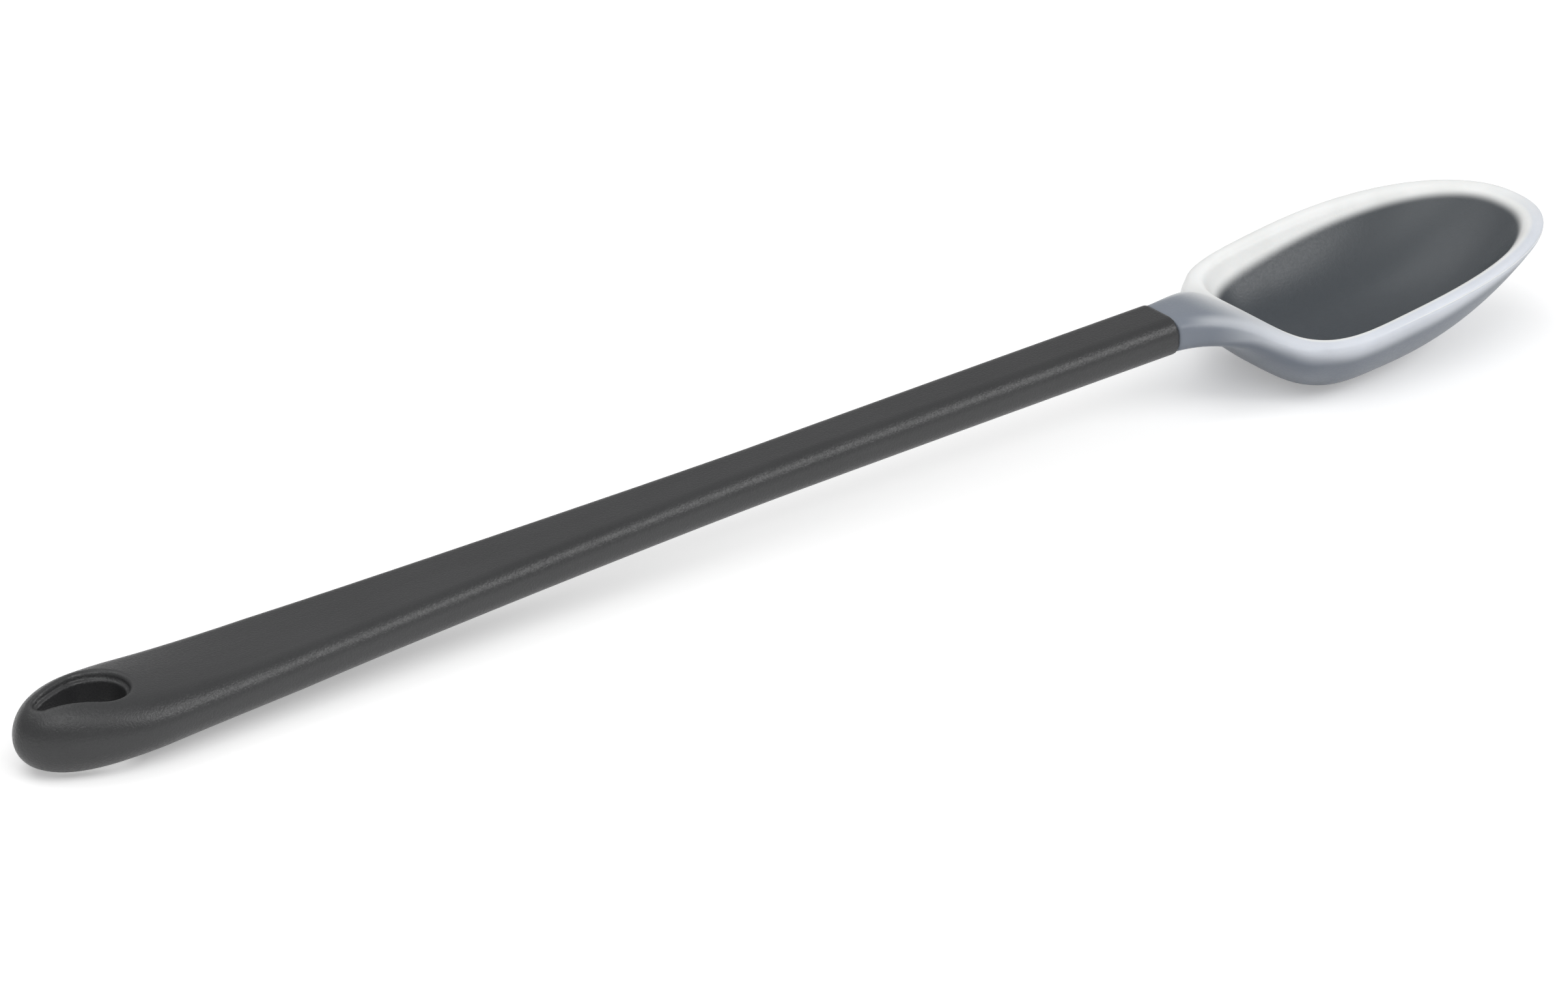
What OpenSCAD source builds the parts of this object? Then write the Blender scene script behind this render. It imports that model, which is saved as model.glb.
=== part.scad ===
// Long cooking spoon: a moulded nylon handle, a stiff nylon core and a soft silicone head.
// X runs from the end of the handle to the tip of the bowl, Z is up, and the table is at Z 0.
// The origin is on the table, halfway along the spoon.

/* [Handle] */
// Length from the rounded end to the mouth that holds the head
handle_l = 186; // [170:1:205]
// Width of the slim part of the handle
handle_w = 9; // [8:0.5:12]
// Thickness of the slim part of the handle
handle_t = 5.5; // [5:0.1:7]
// Squareness of the slim part's section, where 2 is an ellipse
handle_square = 3.4; // [3:0.2:5]
// Height of the handle's middle at its mouth
mouth_z = 12.3; // [11.5:0.1:13]
// Upward bow of the handle's middle
handle_bow = 0.4; // [0:0.1:1]

/* [Handle end] */
// Width that the flare would reach at the end if it were not rounded off
end_w = 20; // [16:0.5:24]
// Length over which the handle widens towards its end
flare_l = 119; // [90:1:140]
// Swiftness of the flare, where 1 widens evenly
flare_power = 1.37; // [1.1:0.01:2]
// Thickness that the swelling would reach at the end if it were not rounded off
end_t = 16; // [13:0.5:18]
// Length of the taper that thickens the handle into its end
swell_l = 102; // [85:1:120]
// Swiftness of the thickening, which keeps it near the end
swell_power = 6.5; // [4:0.1:8]
// Length of the rounding of the end, seen from above
end_round_l = 18.7; // [16:0.1:22]
// Length of the rounding of the end, seen from the side
end_nose_l = 12.3; // [10:0.1:16]
// Rise of the swollen end over the line of the handle
end_rise = 1; // [0:0.1:1.5]
// Length over which the section turns from an ellipse at the end to the slim part's form
end_blend_l = 40; // [30:1:60]

/* [Hanging hole] */
// Distance from the end of the handle to the middle of the hole's wide end
hole_x = 12.6; // [12:0.1:14]
// Radius of the hole's wide end, towards the bowl
hole_r = 4.4; // [3.5:0.1:4.8]
// Radius of the hole's narrow end
hole_tip_r = 1.5; // [1.2:0.1:2]
// Distance between the middles of the two ends of the hole
hole_l = 8; // [6.5:0.1:8.5]

/* [Tang] */
// Length of the core's tang inside the handle
tang_l = 24; // [15:1:40]
// Width of the tang
tang_w = 5.4; // [4:0.1:6]
// Thickness of the tang
tang_t = 3; // [2.2:0.1:3.4]
// Radius of the tang's long edges
tang_r = 0.8; // [0.4:0.1:1]
// Clearance round the tang in its socket
tang_gap = 0.1; // [0.05:0.05:0.3]

/* [Neck] */
// Length of the silicone neck, from the mouth of the handle to the back of the bowl
neck_l = 13.3; // [10:0.1:18]
// Step from the handle's surface down to the neck's
neck_step = 0.2; // [0.1:0.1:0.6]
// Open seam between the handle's mouth and the silicone
seam_gap = 0.1; // [0.05:0.05:0.3]
// Half width of the neck where it runs into the bowl
flare_half_w = 12.2; // [9:0.1:13]
// Swiftness of the neck's widening
neck_flare_power = 1.5; // [1.2:0.1:3]
// Swiftness with which the neck's top sinks towards the bowl
neck_top_power = 2.7; // [1.5:0.1:3]
// Swiftness with which the neck's underside sinks towards the bowl
neck_low_power = 2.7; // [1.5:0.1:3.2]
// Squareness of the neck's section at the bowl
neck_square = 2.8; // [2.2:0.1:3.4]
// Thickness of the neck where it runs into the bowl
neck_end_t = 6.1; // [4:0.1:7]

/* [Bowl] */
// Length of the bowl, from its back rim to its tip
bowl_l = 50.7; // [45:0.1:60]
// Width of the bowl over its rim
bowl_w = 36.8; // [32:0.2:42]
// Distance from the back rim to the widest place
wide_x = 17.6; // [15:0.1:20]
// Distance from the back rim to the lowest place
low_x = 13; // [9:0.1:15]
// Fullness of the rounded tip, where 2 is an ellipse
tip_square = 2.25; // [2:0.05:2.8]
// Fullness of the blunt back end, where 2 is an ellipse
back_square = 3.6; // [3:0.1:4]
// Height that the line of the rim starts from at the back
rim_back_z = 9.6; // [9:0.1:10.8]
// Height of the rim at the tip
rim_tip_z = 15.9; // [12:0.1:18]
// Upward bow of the rim between back and tip
rim_bow = 0.8; // [0:0.1:2]
// Rise of the rim at the very back, where it meets the neck
rim_back_rise = 1; // [0:0.1:1.2]
// Steepness of the wall towards the tip
tip_wall_power = 2.65; // [2.4:0.05:4]
// Steepness of the wall towards the back
back_wall_power = 3.6; // [3:0.05:4]

/* [Wall] */
// Thickness of the lip at the rim
lip_t = 2.7; // [2.4:0.1:3]
// Width of the round shoulder outside the lip's crest
lip_out = 1.8; // [1.2:0.1:2]
// Depth of the round shoulder outside the lip's crest
lip_out_h = 1.6; // [1:0.1:2]
// Depth of the rounding inside the lip's crest
lip_in_h = 0.8; // [0.5:0.1:1]
// Thickness of the floor of the bowl, silicone and core together
floor_t = 2.6; // [2.4:0.1:3.2]
// Silicone between the core and the inside of the bowl
skin_in = 0.5; // [0.3:0.05:0.6]
// Silicone between the core and the outside of the bowl
skin_out = 0.9; // [0.6:0.05:1]
// Depth of the core's edge below the rim, which leaves the lip soft
soft_lip = 2.6; // [2:0.1:4]

/* [Hidden] */

bowl_x = handle_l + neck_l;
overall_l = bowl_x + bowl_l;
wide_at = bowl_x + wide_x;
low_at = bowl_x + low_x;

handle_sides = 40;
neck_sides = 36;
bowl_sides = 56;
core_sides = 44;
nose_rings = 14;
bar_rings = 18;
neck_rings = 10;
wall_rings = 9;
core_rings = 8;
lip_steps = 3;

function clamp01(v) = max(0, min(1, v));
function mix(a, b, s) = a + (b - a) * s;
function signed_pow(v, p) = sign(v) * pow(abs(v), p);

// One solid through a row of rings with equal numbers of points, closed at both ends.
module loft(rings) {
    n = len(rings[0]);
    last = len(rings) - 1;
    points = [for (ring = rings) each ring];
    sides = [
        for (i = [0 : last - 1], j = [0 : n - 1])
            let (k = (j + 1) % n)
            each [
                [i * n + j, (i + 1) * n + j, (i + 1) * n + k],
                [i * n + j, (i + 1) * n + k, i * n + k]
            ]
    ];
    first_cap = [[for (j = [0 : n - 1]) j]];
    last_cap = [[for (j = [n - 1 : -1 : 0]) last * n + j]];
    polyhedron(points = points, faces = concat(sides, first_cap, last_cap), convexity = 6);
}

// A ring round a section across X, from an ellipse (power 2) to nearly a rectangle.
function section_ring(x, mid_z, half_w, half_t, power, sides) = [
    for (j = [0 : sides - 1])
        let (a = 360 * j / sides)
        [
            x,
            half_w * signed_pow(cos(a), 2 / power),
            mid_z + half_t * signed_pow(sin(a), 2 / power)
        ]
];

// Rounded end: 0 at the very end, 1 where the rounding is over. A power of 2 is a quarter of an
// ellipse, and a lower one is more pointed.
function nose(x, l, power) = pow(1 - pow(clamp01(1 - x / l), power), 1 / power);
round_power = 1.74;
nose_power = 1.9;

function handle_half_w(x) =
    mix(handle_w, end_w, pow(clamp01(1 - x / flare_l), flare_power)) / 2
    * nose(x, end_round_l, round_power);

function handle_half_t(x) =
    mix(handle_t, end_t, pow(clamp01(1 - x / swell_l), swell_power)) / 2
    * nose(x, end_nose_l, nose_power);

// Squareness of the handle's section, which turns to an ellipse at the end.
function handle_power(x) = mix(2, handle_square, clamp01(x / end_blend_l));

// Height that the bow and the swollen end add to the straight line of the handle.
function handle_lift(x) =
    let (s = x / handle_l)
    4 * handle_bow * s * (1 - s) + end_rise * pow(clamp01(1 - x / end_blend_l), 2);

// Places of the handle's rings, close together over the rounded end.
nose_end = 30;
first_ring_a = 4;
handle_xs = [
    for (i = [0 : nose_rings - 1])
        nose_end * (1 - cos(mix(first_ring_a, 90, i / nose_rings))),
    for (i = [0 : bar_rings]) mix(nose_end, handle_l, i / bar_rings)
];

// Height of the handle's middle at its end, so that the end just touches the table.
end_z = max([
    for (x = [for (i = [1 : nose_rings]) handle_xs[i]])
        (handle_half_t(x) - handle_lift(x) - mouth_z * x / handle_l) / (1 - x / handle_l)
]);

function handle_mid(x) = mix(end_z, mouth_z, x / handle_l) + handle_lift(x);
tilt = atan(handle_mid(handle_l) - handle_mid(handle_l - 1));

// Outline of a hole with a wide round end and a narrow round end, joined by tangents.
module teardrop(big_r, small_r, l) {
    turn = acos((big_r - small_r) / l);
    circle(r = big_r, $fn = 64);
    translate([-l, 0])
        circle(r = small_r, $fn = 48);
    polygon([
        for (s = [-1, 1]) each [
            [big_r * cos(180 - s * turn), big_r * sin(180 - s * turn)],
            [-l + small_r * cos(180 - s * turn), small_r * sin(180 - s * turn)]
        ]
    ], paths = [[0, 1, 3, 2]]);
}

module rounded_rectangle(w, t, r) {
    square([w, t - 2 * r], center = true);
    square([w - 2 * r, t], center = true);
    for (sx = [-1, 1], sy = [-1, 1])
        translate([sx * (w / 2 - r), sy * (t / 2 - r)])
            circle(r = r, $fn = 32);
}

// Straight tongue along the handle's line, ending past the mouth by the given reach.
module tongue(gap, reach) {
    translate([handle_l, 0, mouth_z])
        rotate([0, -tilt, 0])
            translate([-tang_l - gap, 0, 0])
                rotate([90, 0, 90])
                    linear_extrude(tang_l + gap + reach)
                        rounded_rectangle(tang_w + 2 * gap, tang_t + 2 * gap, tang_r + gap);
}

module handle_bar() {
    loft([
        for (x = handle_xs)
            section_ring(
                x, handle_mid(x), handle_half_w(x), handle_half_t(x),
                handle_power(x), handle_sides
            )
    ]);
}

// How far the socket's cut runs out past the mouth.
cut_past = 1;
// The hole's cut starts under the handle and runs out over it.
hole_cut_from = -end_t;
hole_cut_l = 3 * end_t;

module handle() {
    color("#4b4c4f")
        translate([-overall_l / 2, 0, 0])
            difference() {
                handle_bar();
                translate([hole_x, 0, hole_cut_from])
                    linear_extrude(hole_cut_l)
                        teardrop(hole_r, hole_tip_r, hole_l);
                tongue(tang_gap, cut_past);
            }
}

// Height of the rim over the table at one place along the spoon.
back_rise_power = 14;
function rim_z(x) =
    let (s = (x - bowl_x) / bowl_l)
    mix(rim_back_z, rim_tip_z, s) + 4 * rim_bow * s * (1 - s)
    + rim_back_rise * pow(clamp01(1 - s), back_rise_power);

// A point of the bowl's outline seen from above, moved in by an inset.
function outline(a, inset) =
    let (
        c = cos(a),
        power = c > 0 ? tip_square : back_square,
        reach = (c > 0 ? bowl_l - wide_x : wide_x) - inset
    )
    [
        wide_at + reach * signed_pow(c, 2 / power),
        (bowl_w / 2 - inset) * signed_pow(sin(a), 2 / power)
    ];

// A ring of the bowl's surface over the given base height: 0 is the lowest place and 1 is where
// the wall has climbed to the given depth below the rim. The whole wall climbs to wall_depth.
function bowl_ring(step, inset, base, wall_depth, depth, sides) = [
    for (j = [0 : sides - 1])
        let (
            a = 360 * j / sides,
            p = outline(a, inset),
            power = mix(back_wall_power, tip_wall_power, (1 + cos(a)) / 2),
            rise = rim_z(p[0]) - wall_depth - base,
            g = step * pow(1 - (depth - wall_depth) / rise, 1 / power)
        )
        [mix(low_at, p[0], g), p[1] * g, base + rise * pow(g, power)]
];

// A ring over the rounded lip: a is 0 at its outer side, 90 on its crest and 180 inside.
function lip_ring(a, sides) =
    let (
        width = a < 90 ? lip_out : lip_t - lip_out,
        height = a < 90 ? lip_out_h : lip_in_h
    )
    [
        for (j = [0 : sides - 1])
            let (p = outline(360 * j / sides, lip_out - width * cos(a)))
            [p[0], p[1], rim_z(p[0]) - height * (1 - sin(a))]
    ];

// Steps from the lowest place of the bowl to its edge, closer together up the wall.
first_step = 0.04;
step_power = 0.7;
function wall_step(i, rings) = pow(mix(first_step, 1, i / rings), step_power);

module bowl_shell() {
    loft([
        for (i = [0 : wall_rings])
            bowl_ring(wall_step(i, wall_rings), 0, 0, lip_out_h, lip_out_h, bowl_sides),
        for (i = [1 : 2 * lip_steps - 1])
            lip_ring(90 * i / lip_steps, bowl_sides),
        for (i = [wall_rings : -1 : 0])
            bowl_ring(wall_step(i, wall_rings), lip_t, floor_t, lip_in_h, lip_in_h, bowl_sides)
    ]);
}

// The core's dish keeps one skin from the outside and the other from the inside.
// Walls lean, so a skin measured across them is a little wider seen from above.
lean = 1.1;
outer_inset = skin_out * lean;
inner_inset = lip_t - skin_in * lean;

module core_dish() {
    loft([
        for (i = [0 : core_rings])
            bowl_ring(
                wall_step(i, core_rings), outer_inset, skin_out, lip_out_h, soft_lip, core_sides
            ),
        for (i = [core_rings : -1 : 0])
            bowl_ring(
                wall_step(i, core_rings), inner_inset, floor_t - skin_in, lip_in_h, soft_lip,
                core_sides
            )
    ]);
}

// The neck is a row of sections that widen and sink from the mouth to the back of the bowl. It
// ends inside the lip, a little under the crest at the back.
lip_share = 0.9;
rise_share = 0.8;
neck_end = bowl_x + lip_share * lip_t;
neck_start = handle_l + seam_gap;
neck_end_top = rim_back_z + rise_share * rim_back_rise;
function neck_s(x) = clamp01((x - handle_l) / (neck_end - handle_l));
function neck_half_w(x) =
    mix(handle_w / 2 - neck_step, flare_half_w, pow(neck_s(x), neck_flare_power));
function neck_top(x) =
    mix(mouth_z + handle_t / 2 - neck_step, neck_end_top, pow(neck_s(x), neck_top_power));
function neck_low(x) =
    mix(
        mouth_z - handle_t / 2 + neck_step, neck_end_top - neck_end_t,
        pow(neck_s(x), neck_low_power)
    );
function neck_power(x) = mix(handle_square, neck_square, neck_s(x));

// A skin leaves the sections smaller all round, and sink lowers their top towards the bowl.
module neck(skin, sink, from, to) {
    loft([
        for (i = [0 : neck_rings])
            let (
                x = mix(from, to, i / neck_rings),
                top = neck_top(x) - skin - sink * neck_s(x),
                low = neck_low(x) + skin
            )
            section_ring(
                x, (top + low) / 2, neck_half_w(x) - skin, (top - low) / 2,
                neck_power(x), neck_sides
            )
    ]);
}

// The core's neck runs on into the back of its dish, and stays under the lip.
core_reach = 0.3;
core_sink = 1.2;
tang_reach = 3;

module core_body() {
    core_dish();
    neck(skin_out, core_sink, handle_l, neck_end + core_reach);
    tongue(0, tang_reach);
}

module core() {
    color("#55585b")
        translate([-overall_l / 2, 0, 0])
            core_body();
}

module silicone_head() {
    color("#c4c8d0")
        translate([-overall_l / 2, 0, 0])
            difference() {
                union() {
                    bowl_shell();
                    neck(0, 0, neck_start, neck_end);
                }
                core_body();
            }
}

handle();
core();
silicone_head();
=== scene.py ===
"""Looks of a long cooking spoon with a nylon handle and a milky silicone bowl over a dark core."""

import math

import bpy
import numpy as np
from mathutils import Matrix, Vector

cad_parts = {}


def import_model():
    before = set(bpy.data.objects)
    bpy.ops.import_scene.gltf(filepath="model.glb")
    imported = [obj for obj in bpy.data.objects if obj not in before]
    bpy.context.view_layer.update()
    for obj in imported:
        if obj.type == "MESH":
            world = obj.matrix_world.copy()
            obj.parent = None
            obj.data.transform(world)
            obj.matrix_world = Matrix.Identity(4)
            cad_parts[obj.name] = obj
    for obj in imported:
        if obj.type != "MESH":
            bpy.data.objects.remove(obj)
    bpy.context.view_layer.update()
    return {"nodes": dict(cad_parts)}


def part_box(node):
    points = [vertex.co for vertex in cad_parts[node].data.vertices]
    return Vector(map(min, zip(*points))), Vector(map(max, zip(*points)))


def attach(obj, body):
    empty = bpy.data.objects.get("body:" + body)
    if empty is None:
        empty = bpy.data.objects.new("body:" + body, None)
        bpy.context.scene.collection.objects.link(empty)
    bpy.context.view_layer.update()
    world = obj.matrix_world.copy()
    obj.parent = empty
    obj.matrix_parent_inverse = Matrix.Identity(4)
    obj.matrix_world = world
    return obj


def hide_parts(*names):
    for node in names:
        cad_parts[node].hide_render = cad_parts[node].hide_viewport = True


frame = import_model()

MM = 0.001

# The shapes are worked out in millimetres, with x from the end of the handle.
LENGTH = 2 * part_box("silicone_head")[1].x / MM
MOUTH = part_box("handle")[1].x / MM + LENGTH / 2

# Handle. Its long sides are rounder than the solid's, and its hanging hole has a ledge inside.
# Lengths L are measured from the end, and a power says how a curve sets in.
SLIM_W = 9.0
SLIM_T = 5.5
SLIM_SQUARE = 3.4
SIDE_ROUNDING = 0.87
MOUTH_Z = 12.3
BOW = 0.4
END_W = 20.0
FLARE_L = 119.0
FLARE_POWER = 1.37
END_T = 16.0
SWELL_L = 102.0
SWELL_POWER = 6.5
END_ROUND_L = 18.7
END_ROUND_POWER = 1.74
END_NOSE_L = 12.3
END_NOSE_POWER = 1.9
END_RISE = 1.0
END_START = 0.15
END_MARGIN = 0.02
END_BLEND_L = 40.0
REST_FROM_X = 1.0
REST_TO_X = 25.0
REST_PLACES = 400
HOLE_X = 12.3
HOLE_R = 4.4
HOLE_TIP_R = 1.5
HOLE_L = 7.7
HOLE_ROUNDING = 0.9
LEDGE_DEPTH = 1.1
LEDGE_W = 0.5
LEDGE_ROUNDING = 0.25
MOUTH_ROUNDING = 0.3

# Bowl. Its outline is two half ellipses of higher powers that meet where it is widest, and its
# lip rises to the tip in a slight bow. LOW is the lowest point, and edges are depths under the lip.
BACK = MOUTH + 13.3
TIP_X = LENGTH - 0.45
BOWL_L = TIP_X - BACK
WIDE = 17.6
LOW = BACK + 13.0
BOWL_W = 36.3
TIP_SQUARE = 2.25
BACK_SQUARE = 3.6
BACK_SQUARE_OUT = 3.6
BACK_SQUARE_LOW = 3.3
SQUARING_DEPTH = 8.0
RIM_BACK_Z = 9.6
RIM_TIP_Z = 15.8
RIM_BOW = 0.8
RIM_BACK_RISE = 1.0
RIM_BACK_POWER = 14
TIP_WALL = 2.65
BACK_WALL = 3.6
LIP_T = 2.4
FLOOR_T = 2.6
EDGE_OUT = 1.2
EDGE_IN = 0.42
SHOULDER_BACK = 2.2
SHOULDER_TIP = 1.3
SHOULDER_L = 40.0
LIP_ROUNDING = 0.8
PARTING_DROP = 0.45
PARTING_FROM = BACK + 10
PARTING_TO = BACK + 24
PARTING_OFF = -1.2
PARTING_ON = -0.6

# Neck. It grows from the handle's section, and its end is buried in the bowl's back.
SEAM = 0.1
NECK_STEP = 0.2
NECK_END = BACK + 2.4
NECK_END_HALF_W = 12.2
NECK_END_TOP = 10.4
NECK_END_LOW = 4.6
NECK_FLARE_POWER = 1.5
NECK_TOP_POWER = 2.7
NECK_LOW_POWER = 2.7
NECK_SQUARE = 2.3
NECK_START_ROUNDING = 0.4
NECK_CUT = 1.0
NECK_END_ROUNDING = 6.0
NECK_SHARE_END = 1.3
NECK_JOIN_LOW = 6.2
NECK_JOIN_CORNER = 4.0
NECK_JOIN_TOP = 2.5
JOIN_FROM_Z = 3.0
JOIN_TO_Z = 11.0
JOIN_FADE_FROM = BACK - 4
JOIN_FADE_TO = BACK + 7

# Core under the silicone: how deep under the lip it ends, and how it fades out there
CORE_EDGE_BACK = 3.75
CORE_EDGE_TIP = 0.55
CORE_EDGE_OUT = 2.8
CORE_EDGE_OUT_RISE = 1.8
CORE_RISE_FROM = 0.4
CORE_RISE_TO = 0.8
CORE_EDGE_CORNER_RISE = 0.9
CORE_CORNER_X = 0.8
CORE_CORNER_L = 4.5
CORE_FADE_BACK = 0.9
CORE_FADE_TIP = 0.45
CORE_FADE_OUT = 1.3
NECK_VEIL = 0.97
NECK_FADE_L = 9.0
NECK_FADE_END = 3.0
CREST_FADE = 4.0
# The neck's upper edges are lighter where the core lies deeper, and partly as painted light.
NECK_RIDGE_LIGHTER_AND_LIT = 0.55
RIDGE_IN = 0.55
RIDGE_OUT = 0.95
RIDGE_LOW = 1.8
RIDGE_HIGH = 0.4
RIDGE_FROM = MOUTH + 1
RIDGE_TO = MOUTH + 6
SKIN_FADE = 0.6
SKIN_LIMIT = 2.0

# Meshes, with the boxes that they are sought in, and the search for the bowl's walls
HEAD_STEP = 0.3
HANDLE_STEP = 0.32
HANDLE_LOW = (-1.2, -11, -1.2)
HANDLE_HIGH = (MOUTH + 1, 11, 17)
HEAD_LOW = (MOUTH - 1, -20, -1.5)
HEAD_HIGH = (LENGTH + 2, 20, 18)
SLOPE_STEP = 0.05
FAR_OUT = 5.0
GAUGE_ROUNDS = 10
GAUGE_LEAST = 1e-3
GAUGE_MOST = 12.0
GAUGE_FIRST = (1e-2, 11.0)
GAUGE_LEAP = 1.5
GAUGE_SLACK = 1e-7
TINY = 1e-6
TINIER = 1e-12


def rgb(r, g, b):
    return (r, g, b, 1.0)


# Colours. The silicone is white by itself and grey where it veils the core; outside it is painted
# darker and cooler as painted shade, and on the far side painted whiter as painted light.
WHITE_A = rgb(0.83, 0.84, 0.83)
WHITE_B = rgb(0.88, 0.89, 0.885)
OUTER_SHADED_A = rgb(0.66, 0.69, 0.745)
OUTER_SHADED_B = rgb(0.70, 0.73, 0.785)
VEILED = rgb(0.19, 0.214, 0.255)
BARE = rgb(0.058, 0.066, 0.075)
# Towards the tip the bare inside is painted lighter: painted light.
BARE_LIT_TOWARD_TIP = rgb(0.075, 0.084, 0.093)
HANDLE_DARK = rgb(0.028, 0.0284, 0.0296)
HANDLE_LIGHT = rgb(0.033, 0.0335, 0.0348)
CORE_DARK = rgb(0.055, 0.058, 0.062)
CORE_LIGHT = rgb(0.06, 0.064, 0.068)
HANDLE_ROUGHNESS = 0.38
CORE_ROUGHNESS = 0.5

# Materials. Noise scales are per metre, and places and depths without MM in the name are metres.
NYLON_GRAIN = 3200
NYLON_GRAIN_DEPTH = 0.00008
NYLON_GRAIN_STRENGTH = 0.75
NYLON_CLOUD = 90
NYLON_CLOUD_SHARE = 0.45
NYLON_STREAK = 260
NYLON_STREAK_SHARE = 0.55
NYLON_STREAK_STRETCH = (0.06, 1, 1)
NYLON_IOR = 1.5
SILICONE_CLOUD = 160
SILICONE_GRAIN = 2600
SILICONE_GRAIN_DEPTH = 0.00004
SILICONE_GRAIN_STRENGTH = 0.5
SILICONE_SMOOTH = 0.33
SILICONE_DULL = 0.4
SILICONE_IOR = 1.42
NOISE_LOW = 0.3
NOISE_HIGH = 0.7
# Where the bare inside is painted lighter towards the tip: painted light.
PAINTED_LIGHT_TIP_FROM = 0.088
PAINTED_LIGHT_TIP_TO = 0.116
# Where the silicone is painted whiter on the far side than on the near side: painted light.
FAR_SIDE_LIT_FROM_Y = -0.014
FAR_SIDE_LIT_TO_Y = 0.006
WHITE_FROM_MM = 0.6
WHITE_TO_MM = 1.9
PARTING_IN_MM = 0.03
PARTING_OUT_MM = 0.1
# The parting line is painted whiter: a painted highlight on its fine real ridge.
PARTING_HIGHLIGHT = 0.85
PARTING_RIDGE = 0.00006
PARTING_RIDGE_STRENGTH = 0.8
SCATTER_SHARE = 0.4
SCATTER_DEPTH = 0.0013
SCATTER_COLOURS = (1.0, 0.9, 0.85)

# Stage. The floor looks lighter to the camera than to the spoon, so that it is white.
FLOOR_HALF = 3.0
FLOOR_SHADE = 0.75
FLOOR_SEEN = 0.92
FLOOR_GLOW = 0.31
WORLD_STRENGTH = 0.44

# The fitted camera, in degrees, millimetres and pixels of the photograph
VIEW_AZIMUTH = 37.18
VIEW_ELEVATION = 25.05
VIEW_DISTANCE = 1400.0
VIEW_ACROSS = -97.325
VIEW_ABOVE = -36.497
VIEW_FOCAL = 16953.0
PHOTO_W = 2408
SENSOR_W = 36.0


def clamp01(v):
    return np.clip(v, 0.0, 1.0)


def mix(a, b, s):
    return a + (b - a) * s


def ramp(v, low, high):
    s = clamp01((v - low) / (high - low))
    return s * s * (3 - 2 * s)


def smooth_min(a, b, k):
    """The lower of two fields, with a rounded valley of size k where they cross."""
    h = clamp01(0.5 + 0.5 * (b - a) / k)
    return b * (1 - h) + a * h - k * h * (1 - h)


def smooth_max(a, b, k):
    """The higher of two fields, with a rounded edge of size k where they cross."""
    return -smooth_min(-a, -b, k)


def section(y, z, half_w, mid_z, half_t, power):
    """Rough distance to a section that is an ellipse (power 2) or nearly a rectangle."""
    r = ((np.abs(y) / half_w) ** power + (np.abs(z - mid_z) / half_t) ** power) ** (1 / power)
    return (r - 1) * np.minimum(half_w, half_t)


def rounded_bar(y, z, half_w, mid_z, half_t):
    """Distance to a flat bar whose edges are nearly half round."""
    r = SIDE_ROUNDING * half_t
    aside, up = np.abs(y) - (half_w - r), np.abs(z - mid_z) - (half_t - r)
    past = np.hypot(np.maximum(aside, 0), np.maximum(up, 0))
    return past + np.minimum(np.maximum(aside, up), 0) - r


def nose(x, length, power):
    """Share of the full size that is reached at x, from 0 at the handle's end to 1."""
    return np.maximum(1 - clamp01(1 - (x - END_START) / length) ** power, TINIER) ** (1 / power)


def handle_half_w(x):
    flare = clamp01(1 - x / FLARE_L) ** FLARE_POWER
    return mix(SLIM_W, END_W, flare) / 2 * nose(x, END_ROUND_L, END_ROUND_POWER)


def handle_half_t(x):
    swell = clamp01(1 - x / SWELL_L) ** SWELL_POWER
    return mix(SLIM_T, END_T, swell) / 2 * nose(x, END_NOSE_L, END_NOSE_POWER)


def handle_lift(x):
    """How far the handle's middle lies over a straight line from its end to its mouth."""
    s = x / MOUTH
    return 4 * BOW * s * (1 - s) + END_RISE * clamp01(1 - x / END_BLEND_L) ** 2


def handle_end_z():
    """Height of the handle's middle at its end, so that the end just touches the table."""
    x = np.linspace(REST_FROM_X, REST_TO_X, REST_PLACES)
    return np.max((handle_half_t(x) - handle_lift(x) - MOUTH_Z * x / MOUTH) / (1 - x / MOUTH))


END_Z = handle_end_z()


def teardrop(x, y):
    """Signed distance to the outline of the hanging hole."""
    along = HOLE_X - x
    aside = np.abs(y)
    sine = (HOLE_R - HOLE_TIP_R) / HOLE_L
    cosine = math.sqrt(1 - sine * sine)
    k = cosine * along - sine * aside
    wide_end = np.hypot(aside, along) - HOLE_R
    narrow_end = np.hypot(aside, along - HOLE_L) - HOLE_TIP_R
    flank = cosine * aside + sine * along - HOLE_R
    return np.where(k < 0, wide_end, np.where(k > cosine * HOLE_L, narrow_end, flank))


def handle_field(x, y, z):
    """The handle: a bar with an oval end, cut at its mouth, with a ledge inside its hole."""
    mid_z = mix(END_Z, MOUTH_Z, x / MOUTH) + handle_lift(x)
    half_w, half_t = handle_half_w(x), handle_half_t(x)
    oval = section(y, z, half_w, mid_z, half_t, 2.0)
    bar = mix(oval, rounded_bar(y, z, half_w, mid_z, half_t), clamp01(x / END_BLEND_L))
    bar = np.where(x > END_START + END_MARGIN, bar, FAR_OUT)
    bar = smooth_max(bar, x - MOUTH, MOUTH_ROUNDING)
    outline = teardrop(x, y)
    below_ledge = smooth_max(bar + LEDGE_DEPTH, -outline - LEDGE_W, LEDGE_ROUNDING)
    return smooth_min(smooth_max(bar, -outline, HOLE_ROUNDING), below_ledge, LEDGE_ROUNDING)


def rim_z(x):
    """Height of the lip."""
    s = (x - BACK) / BOWL_L
    rise = RIM_BACK_RISE * clamp01(1 - s) ** RIM_BACK_POWER
    return mix(RIM_BACK_Z, RIM_TIP_Z, s) + 4 * RIM_BOW * s * (1 - s) + rise


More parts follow.
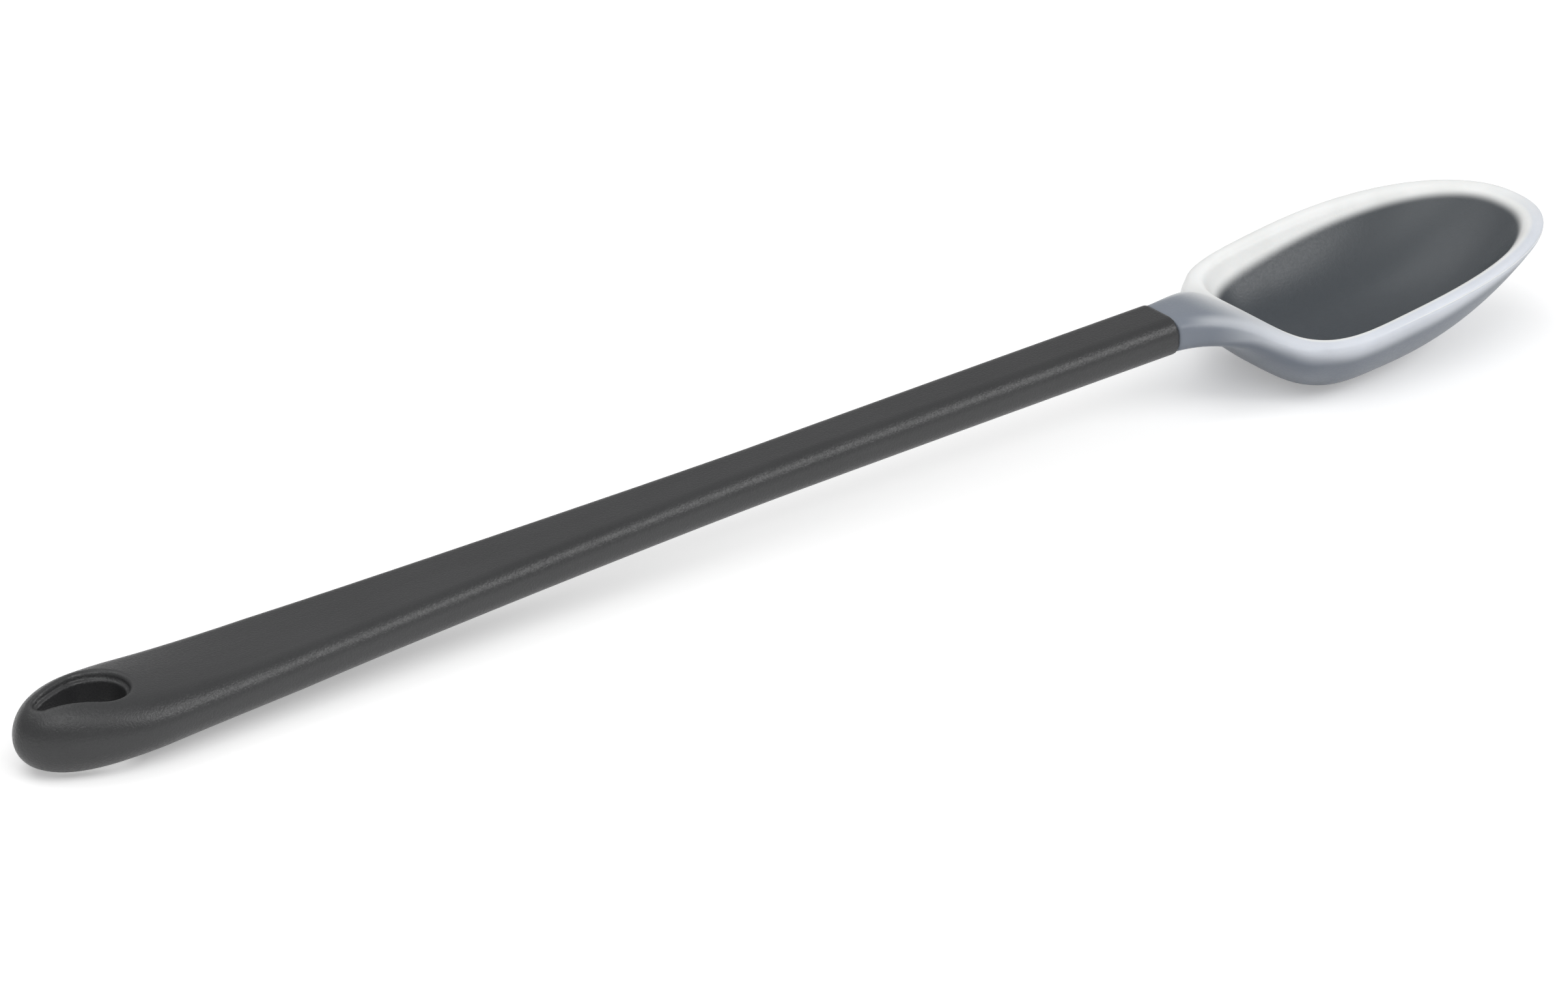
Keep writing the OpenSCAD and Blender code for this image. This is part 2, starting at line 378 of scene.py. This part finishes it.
def gauge(x, y, inset, back_square):
    """How far a place lies from the lowest point towards the bowl's outline, where it is 1."""
    dx, dy = np.broadcast_arrays(x - LOW, np.abs(y) + TINY)
    offset = BACK + WIDE - LOW
    front = BOWL_L - WIDE - inset
    rear = WIDE - inset
    half_w = BOWL_W / 2 - inset
    low, high = np.full(dx.shape, GAUGE_LEAST), np.full(dx.shape, GAUGE_MOST)
    start = np.where(dx > 0, dx / (front + offset), -dx / (rear - offset))
    g = np.clip(np.maximum(start, dy / half_w), *GAUGE_FIRST)
    for _ in range(GAUGE_ROUNDS):
        u = dx / g - offset
        power = np.where(u > 0, TIP_SQUARE, back_square)
        along = np.abs(u) / np.where(u > 0, front, rear)
        aside = dy / (g * half_w)
        along_p = along ** (power - 1) + TINIER
        aside_p = aside ** (power - 1)
        value = along_p * along + aside_p * aside
        reach = np.where(u > 0, front, rear)
        slope = power * (along_p * np.sign(u) * (dx / g) / reach + aside_p * aside)
        low = np.where(value > 1, g, low)
        high = np.where(value > 1, high, g)
        step = np.log(value) * value / np.maximum(slope, TINY)
        guess = g * np.exp(np.clip(step, -GAUGE_LEAP, GAUGE_LEAP))
        inside = (guess >= low * (1 - GAUGE_SLACK)) & (guess <= high * (1 + GAUGE_SLACK))
        g = np.where(inside, guess, np.sqrt(low * high))
    return g


def wall_z(x, y, inset, base, edge, back_square):
    """Height of a bowl surface that is flat below and climbs to the given depth under the rim."""
    g = gauge(x, y, inset, back_square)
    rim_x = LOW + (x - LOW) / g
    reach = np.where(rim_x > BACK + WIDE, BOWL_L - WIDE, WIDE)
    turn = np.clip((rim_x - BACK - WIDE) / reach, -1, 1)
    power = mix(BACK_WALL, TIP_WALL, (1 + turn) / 2)
    return base + (rim_z(np.clip(rim_x, BACK, TIP_X)) - edge - base) * g ** power


def wall_field(x, y, z, inset, base, edge, back_square=BACK_SQUARE):
    """Distance to a bowl surface, from its height and its slope; positive below the surface."""
    w = wall_z(x, y, inset, base, edge, back_square)
    slope_x = (wall_z(x + SLOPE_STEP, y, inset, base, edge, back_square) - w) / SLOPE_STEP
    slope_y = (wall_z(x, y + SLOPE_STEP, inset, base, edge, back_square) - w) / SLOPE_STEP
    return (w - z) / np.sqrt(1 + slope_x ** 2 + slope_y ** 2)


def outer_field(x, y, z):
    """The outside of the bowl, whose back corners grow rounder the further down they are."""
    square = wall_field(x, y, z, 0.0, 0.0, EDGE_OUT, BACK_SQUARE_OUT)
    low = wall_field(x, y, z, 0.0, 0.0, EDGE_OUT, BACK_SQUARE_LOW)
    return mix(low, square, clamp01(1 + (z - rim_z(x)) / SQUARING_DEPTH))


def inner_field(x, y, z):
    """The inside of the bowl, a lip's thickness within the outside."""
    return wall_field(x, y, z, LIP_T, FLOOR_T, EDGE_IN)


def neck_share(x):
    """0 at the handle and 1 at the neck's end, and a little more inside the bowl's back."""
    return np.clip((x - MOUTH) / (NECK_END - MOUTH), 0.0, NECK_SHARE_END)


def neck_top(x):
    return mix(MOUTH_Z + SLIM_T / 2 - NECK_STEP, NECK_END_TOP, neck_share(x) ** NECK_TOP_POWER)


def neck_half_w(x):
    return mix(SLIM_W / 2 - NECK_STEP, NECK_END_HALF_W, neck_share(x) ** NECK_FLARE_POWER)


def neck_field(x, y, z):
    """The neck: a bar that widens and drops towards the bowl."""
    s = neck_share(x)
    top = neck_top(x)
    low = mix(MOUTH_Z - SLIM_T / 2 + NECK_STEP, NECK_END_LOW, s ** NECK_LOW_POWER)
    power = mix(SLIM_SQUARE, NECK_SQUARE, s)
    return section(y, z, neck_half_w(x), (top + low) / 2, (top - low) / 2, power)


def join_neck(bowl, neck, x, z):
    """Joins the neck to the bowl with a rounding that is wider low down and before the corners."""
    rounding = mix(NECK_JOIN_LOW, NECK_JOIN_TOP, ramp(z, JOIN_FROM_Z, JOIN_TO_Z))
    at_corner = np.minimum(rounding, NECK_JOIN_CORNER)
    cornerward = ramp(x, JOIN_FADE_FROM, JOIN_FADE_TO)
    return smooth_min(bowl, neck, mix(rounding, at_corner, cornerward))


def head_field(x, y, z):
    """The silicone head: neck and bowl in one, hollowed out and rounded at the lip."""
    neck = smooth_max(neck_field(x, y, z), x - NECK_END - NECK_CUT, NECK_END_ROUNDING)
    neck = smooth_max(neck, MOUTH + SEAM - x, NECK_START_ROUNDING)
    shoulder = mix(SHOULDER_BACK, SHOULDER_TIP, ramp(x, BACK, BACK + SHOULDER_L))
    bowl = smooth_max(outer_field(x, y, z), z - rim_z(x), shoulder)
    return smooth_max(join_neck(bowl, neck, x, z), -inner_field(x, y, z), LIP_ROUNDING)


def net(field, low, high, step):
    """A closed mesh of four-sided faces round where the field is negative."""
    axes = [np.arange(a, b + step, step) for a, b in zip(low, high)]
    shape = tuple(len(a) for a in axes)
    values = np.broadcast_to(field(*np.meshgrid(*axes, indexing="ij", sparse=True)), shape)
    solid = values < 0
    cells = np.array(shape) - 1
    total = np.zeros((*cells, 3))
    count = np.zeros(tuple(cells))
    corners = [(i, j, k) for i in (0, 1) for j in (0, 1) for k in (0, 1)]
    for corner in corners:
        for axis in range(3):
            if corner[axis]:
                continue
            other = list(corner)
            other[axis] = 1
            a = values[tuple(slice(c, c + m) for c, m in zip(corner, cells))]
            b = values[tuple(slice(c, c + m) for c, m in zip(other, cells))]
            crossed = (a < 0) != (b < 0)
            place = np.where(crossed, a / np.where(crossed, a - b, 1), 0)
            for c in range(3):
                total[..., c] += crossed * (corner[c] + (place if c == axis else 0))
            count += crossed
    used = count > 0
    ids = np.full(tuple(cells), -1)
    ids[used] = np.arange(used.sum())
    points = (np.argwhere(used) + total[used] / count[used][:, None]) * step + np.array(low)
    faces = []
    for axis in range(3):
        near, far = [slice(1, -1)] * 3, [slice(1, -1)] * 3
        near[axis], far[axis] = slice(0, -1), slice(1, None)
        edges = np.argwhere(solid[tuple(near)] != solid[tuple(far)]) + 1
        edges[:, axis] -= 1
        u, v = np.zeros(3, int), np.zeros(3, int)
        u[(axis + 1) % 3] = v[(axis + 2) % 3] = 1
        ring = [edges - u - v, edges - v, edges, edges - u]
        quads = np.stack([ids[tuple(p.T)] for p in ring], 1)
        flipped = ~solid[tuple(edges.T)]
        quads[flipped] = quads[flipped][:, ::-1]
        faces.append(quads)
    return points, np.concatenate(faces)


def settle(field, points, rounds=3, limit=0.2, h=0.02):
    """Moves each point onto the surface, along the field's slope."""
    for _ in range(rounds):
        value = field(*points.T)
        slope = np.empty_like(points)
        for c in range(3):
            moved = points.copy()
            moved[:, c] += h
            slope[:, c] = (field(*moved.T) - value) / h
        shift = value[:, None] * slope / np.maximum((slope ** 2).sum(1), TINY)[:, None]
        size = np.linalg.norm(shift, axis=1)
        points = points - shift * np.minimum(1, limit / np.maximum(size, 1e-9))[:, None]
    return points


def piece(name, field, low, high, step, node, material, tints=()):
    """A smooth mesh of a field that stands for a CAD node, with its named tints per vertex."""
    points, faces = net(field, low, high, step)
    points = settle(field, points)
    mesh = bpy.data.meshes.new(name)
    places = (points - np.array([LENGTH / 2, 0, 0])) * MM
    mesh.from_pydata(places.tolist(), [], faces.tolist())
    mesh.validate()
    mesh.polygons.foreach_set("use_smooth", [True] * len(mesh.polygons))
    for tint, tint_field in tints:
        values = tint_field(*points.T)
        mesh.attributes.new(tint, "FLOAT", "POINT").data.foreach_set("value", values)
    mesh.materials.append(material)
    mesh.update()
    obj = bpy.data.objects.new(name, mesh)
    bpy.context.scene.collection.objects.link(obj)
    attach(obj, "root")
    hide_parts(node)


def inward(x, y, z):
    """How much nearer, in mm, a place is to the inside of the bowl than to the outside."""
    nearer = np.abs(outer_field(x, y, z)) - np.abs(inner_field(x, y, z))
    return np.where(x > BACK, np.clip(nearer, -SKIN_LIMIT, SKIN_LIMIT), -SKIN_LIMIT)


def neck_ridge(x, y, z):
    """1 on the upper edges of the neck, where the core lies deeper; the veil is lightened there,
    partly as painted light.
    """
    top = neck_top(x)
    sideways = ramp(np.abs(y) / neck_half_w(x), RIDGE_IN, RIDGE_OUT)
    return sideways * ramp(z, top - RIDGE_LOW, top - RIDGE_HIGH)


def core_tint(x, y, z):
    """1 where the stiff core lies just under the silicone, and 0 in the soft lip over its edge."""
    s = clamp01((x - BACK) / BOWL_L)
    outer_edge = CORE_EDGE_OUT - CORE_EDGE_OUT_RISE * ramp(s, CORE_RISE_FROM, CORE_RISE_TO)
    from_corner = (x - BACK - CORE_CORNER_X) / CORE_CORNER_L
    outer_edge -= CORE_EDGE_CORNER_RISE * np.exp(-from_corner ** 2)
    inner_edge = mix(CORE_EDGE_BACK, CORE_EDGE_TIP, s)
    inner = ramp(inward(x, y, z), -SKIN_FADE, SKIN_FADE)
    edge = mix(outer_edge, inner_edge, inner)
    fade = mix(CORE_FADE_OUT, mix(CORE_FADE_BACK, CORE_FADE_TIP, s), inner)
    crest = mix(neck_top(x), rim_z(x), ramp(x, BACK - CREST_FADE, BACK + CREST_FADE))
    below_edge = ramp(crest - z, edge - fade, edge + fade)
    on_neck = NECK_VEIL * (1 - ramp(x, BACK - NECK_FADE_L, BACK + NECK_FADE_END))
    # Lighter on the neck's upper edges: partly the deeper core, partly painted light.
    on_neck *= 1 - NECK_RIDGE_LIGHTER_AND_LIT * neck_ridge(x, y, z) * ramp(x, RIDGE_FROM, RIDGE_TO)
    return np.maximum(below_edge, on_neck)


def parting_height(x, y, z):
    """Height over the mould's parting line, which runs along the outside of the lip."""
    return z - rim_z(x) + PARTING_DROP


def parting_strength(x, y, z):
    """1 on the outside of the lip, falling to 0 where the neck joins it and inside the bowl."""
    on_outside = ramp(outer_field(x, y, z), PARTING_OFF, PARTING_ON)
    return ramp(x, PARTING_FROM, PARTING_TO) * on_outside


class Nodes:
    """Short calls for one material's node tree."""

    def __init__(self, name):
        self.material = bpy.data.materials.new(name)
        self.material.use_nodes = True
        self.tree = self.material.node_tree
        self.shader = self.tree.nodes["Principled BSDF"]

    def add(self, kind, inputs=None, **settings):
        node = self.tree.nodes.new(kind)
        for key, value in settings.items():
            setattr(node, key, value)
        for key, value in (inputs or {}).items():
            if isinstance(value, bpy.types.NodeSocket):
                self.tree.links.new(value, node.inputs[key])
            else:
                node.inputs[key].default_value = value
        return node

    def link(self, output, socket):
        self.tree.links.new(output, self.shader.inputs[socket])

    def object_place(self):
        return self.add("ShaderNodeTexCoord").outputs["Object"]

    def noise(self, scale, detail, roughness, stretch=(1, 1, 1)):
        place = {"Vector": self.object_place(), "Scale": stretch}
        where = self.add("ShaderNodeMapping", place).outputs[0]
        inputs = {"Vector": where, "Scale": scale, "Detail": detail, "Roughness": roughness}
        return self.add("ShaderNodeTexNoise", inputs).outputs["Fac"]

    def attribute(self, name):
        node = self.add("ShaderNodeAttribute", attribute_type="GEOMETRY", attribute_name=name)
        return node.outputs["Fac"]

    def remap(self, value, low, high, to_low=0.0, to_high=1.0):
        inputs = {"Value": value, "From Min": low, "From Max": high}
        inputs.update({"To Min": to_low, "To Max": to_high})
        node = self.add("ShaderNodeMapRange", inputs, interpolation_type="SMOOTHSTEP")
        return node.outputs["Result"]

    def blend(self, factor, a, b):
        node = self.add("ShaderNodeMix", data_type="RGBA")
        for index, value in ((0, factor), (6, a), (7, b)):
            if isinstance(value, bpy.types.NodeSocket):
                self.tree.links.new(value, node.inputs[index])
            else:
                node.inputs[index].default_value = value
        return node.outputs[2]

    def math(self, operation, a, b):
        return self.add("ShaderNodeMath", {0: a, 1: b}, operation=operation).outputs[0]

    def bump(self, height, distance, strength, normal=None):
        inputs = {"Height": height, "Distance": distance, "Strength": strength}
        if normal:
            inputs["Normal"] = normal
        return self.add("ShaderNodeBump", inputs).outputs["Normal"]


def nylon(name, dark, light, roughness):
    """Matte moulded nylon with a fine spark-eroded grain."""
    n = Nodes(name)
    grain = n.noise(NYLON_GRAIN, detail=2.0, roughness=0.6)
    cloud = n.noise(NYLON_CLOUD, detail=3.0, roughness=0.5)
    streak = n.noise(NYLON_STREAK, detail=3.0, roughness=0.6, stretch=NYLON_STREAK_STRETCH)
    tone = n.math("ADD", n.math("MULTIPLY", cloud, NYLON_CLOUD_SHARE),
                  n.math("MULTIPLY", streak, NYLON_STREAK_SHARE))
    n.link(n.blend(n.remap(tone, 0.35, 0.65), dark, light), "Base Color")
    duller = n.remap(grain, NOISE_LOW, NOISE_HIGH, roughness - 0.05, roughness + 0.07)
    n.link(duller, "Roughness")
    n.link(n.bump(grain, NYLON_GRAIN_DEPTH, NYLON_GRAIN_STRENGTH), "Normal")
    n.shader.inputs["IOR"].default_value = NYLON_IOR
    return n.material


def parting_line(n):
    """1 on the mould's fine parting line and 0 beside it."""
    height = n.math("ABSOLUTE", n.attribute("parting_height"), 0.0)
    near = n.remap(height, PARTING_IN_MM, PARTING_OUT_MM, 1.0, 0.0)
    return n.math("MULTIPLY", near, n.attribute("parting_strength"))


def silicone():
    """Milky satin silicone: white by itself, grey where the dark core shows through it, with
    painted shade on the lip's outside, and painted light on the far side and on the bare inside
    towards the tip.
    """
    n = Nodes("silicone_milky")
    core = n.attribute("core_tint")
    inward_mm = n.attribute("inward")
    inner = n.remap(inward_mm, -SKIN_FADE, SKIN_FADE)
    cloud = n.noise(SILICONE_CLOUD, detail=3.0, roughness=0.5)
    cloud = n.remap(cloud, NOISE_LOW, NOISE_HIGH)
    place = n.add("ShaderNodeSeparateXYZ", {"Vector": n.object_place()}).outputs
    inside = n.remap(inward_mm, WHITE_FROM_MM, WHITE_TO_MM)
    # The lip's outside is painted darker and cooler as painted shade, and the far side is painted
    # whiter as painted light.
    far_side_painted_light = n.remap(place["Y"], FAR_SIDE_LIT_FROM_Y, FAR_SIDE_LIT_TO_Y)
    whiter_inside_and_lit_far_side = n.math("MAXIMUM", inside, far_side_painted_light)
    outer = n.blend(cloud, OUTER_SHADED_A, OUTER_SHADED_B)
    white = n.blend(whiter_inside_and_lit_far_side, outer, n.blend(cloud, WHITE_A, WHITE_B))
    veiled = n.blend(core, white, VEILED)
    # The bare inside is painted lighter towards the tip: painted light.
    lit_tipward = n.remap(place["X"], PAINTED_LIGHT_TIP_FROM, PAINTED_LIGHT_TIP_TO)
    bare = n.blend(core, white, n.blend(lit_tipward, BARE, BARE_LIT_TOWARD_TIP))
    colour = n.blend(inner, veiled, bare)
    # The parting line's ridge is real; its whiter colour is a painted highlight.
    line = parting_line(n)
    n.link(n.blend(n.math("MULTIPLY", line, PARTING_HIGHLIGHT), colour, WHITE_B), "Base Color")
    grain = n.noise(SILICONE_GRAIN, detail=2.0, roughness=0.5)
    n.link(n.remap(grain, NOISE_LOW, NOISE_HIGH, SILICONE_SMOOTH, SILICONE_DULL), "Roughness")
    fine = n.bump(grain, SILICONE_GRAIN_DEPTH, SILICONE_GRAIN_STRENGTH)
    n.link(n.bump(line, PARTING_RIDGE, PARTING_RIDGE_STRENGTH, fine), "Normal")
    shader = n.shader.inputs
    shader["IOR"].default_value = SILICONE_IOR
    shader["Subsurface Weight"].default_value = SCATTER_SHARE
    shader["Subsurface Radius"].default_value = SCATTER_COLOURS
    shader["Subsurface Scale"].default_value = SCATTER_DEPTH
    return n.material


def floor():
    """A pale floor that the camera sees as white where nothing shades it."""
    mesh = bpy.data.meshes.new("floor")
    corners = [(a * FLOOR_HALF, b * FLOOR_HALF, 0) for a, b in ((-1, -1), (1, -1), (1, 1), (-1, 1))]
    mesh.from_pydata(corners, [], [(0, 1, 2, 3)])
    obj = bpy.data.objects.new("floor", mesh)
    bpy.context.scene.collection.objects.link(obj)
    n = Nodes("floor_pale")
    nodes, links = n.tree.nodes, n.tree.links
    nodes.remove(n.shader)
    shade, seen_shade = [rgb(v, v, v) for v in (FLOOR_SHADE, FLOOR_SEEN)]
    matte = n.add("ShaderNodeBsdfDiffuse", {"Color": shade})
    white = n.add("ShaderNodeBsdfDiffuse", {"Color": seen_shade})
    glow = n.add("ShaderNodeEmission", {"Color": rgb(1, 1, 1), "Strength": FLOOR_GLOW})
    both = n.add("ShaderNodeAddShader")
    links.new(white.outputs[0], both.inputs[0])
    links.new(glow.outputs[0], both.inputs[1])
    path = n.add("ShaderNodeLightPath").outputs
    seen = n.math("MAXIMUM", path["Is Camera Ray"],
                  n.math("MAXIMUM", path["Is Glossy Ray"], path["Is Transmission Ray"]))
    pick = n.add("ShaderNodeMixShader", {0: seen})
    links.new(matte.outputs[0], pick.inputs[1])
    links.new(both.outputs[0], pick.inputs[2])
    links.new(pick.outputs[0], nodes["Material Output"].inputs[0])
    mesh.materials.append(n.material)


def world(strength):
    w = bpy.data.worlds.new("studio")
    bpy.context.scene.world = w
    w.use_nodes = True
    background = w.node_tree.nodes["Background"].inputs
    background["Color"].default_value = rgb(1, 1, 1)
    background["Strength"].default_value = strength


def frame_matrix(right, up, back, place):
    """The matrix of an object whose axes point right, up and back, at the given place."""
    rows = np.stack([right, up, back, place], 1)
    return Matrix([*rows.tolist(), (0, 0, 0, 1)])


def softbox(name, azimuth, elevation, distance, width, height, power):
    """A soft rectangular lamp that looks at the middle of the spoon."""
    a, e = math.radians(azimuth), math.radians(elevation)
    out = np.array([math.cos(a) * math.cos(e), math.sin(a) * math.cos(e), math.sin(e)])
    lamp = bpy.data.lights.new(name, "AREA")
    lamp.shape = "RECTANGLE"
    lamp.size, lamp.size_y, lamp.energy = width, height, power
    obj = bpy.data.objects.new(name, lamp)
    right = np.cross([0, 0, 1], out)
    right = right / np.linalg.norm(right)
    obj.matrix_world = frame_matrix(right, np.cross(out, right), out, out * distance)
    bpy.context.scene.collection.objects.link(obj)


def camera():
    """The photograph's view, from a fit of the camera to the spoon's outlines."""
    azimuth, elevation = math.radians(VIEW_AZIMUTH), math.radians(VIEW_ELEVATION)
    sa, ca, se, ce = math.sin(azimuth), math.cos(azimuth), math.sin(elevation), math.cos(elevation)
    right = np.array([ca, -sa, 0.0])
    up = np.array([sa * se, ca * se, ce])
    ahead = np.array([sa * ce, ca * ce, -se])
    place = -VIEW_ACROSS * right - VIEW_ABOVE * up - VIEW_DISTANCE * ahead
    place -= np.array([LENGTH / 2, 0, 0])
    data = bpy.data.cameras.new("view")
    data.sensor_width = SENSOR_W
    data.lens = VIEW_FOCAL / PHOTO_W * SENSOR_W
    data.clip_start, data.clip_end = 0.1, 20.0
    obj = bpy.data.objects.new("view", data)
    obj.matrix_world = frame_matrix(right, up, -ahead, place * MM)
    bpy.context.scene.collection.objects.link(obj)
    bpy.context.scene.camera = obj


handle_nylon = nylon("nylon_dark_grey", HANDLE_DARK, HANDLE_LIGHT, HANDLE_ROUGHNESS)
core_nylon = nylon("nylon_core", CORE_DARK, CORE_LIGHT, CORE_ROUGHNESS)
piece("handle_bar", handle_field, HANDLE_LOW, HANDLE_HIGH, HANDLE_STEP,
      "handle", handle_nylon)
piece("silicone_bowl", head_field, HEAD_LOW, HEAD_HIGH, HEAD_STEP,
      "silicone_head", silicone(),
      (("core_tint", core_tint), ("inward", inward), ("parting_height", parting_height),
       ("parting_strength", parting_strength)))
for slot in frame["nodes"]["core"].material_slots:
    slot.material = core_nylon

floor()
world(WORLD_STRENGTH)
softbox("key", azimuth=-135, elevation=55, distance=1.4, width=1.1, height=0.8, power=6)
softbox("top", azimuth=115, elevation=62, distance=1.4, width=1.2, height=1.0, power=4.5)
softbox("edge", azimuth=-50, elevation=37, distance=1.3, width=0.9, height=0.45, power=6)
camera()
bpy.context.scene.view_settings.view_transform = "Standard"
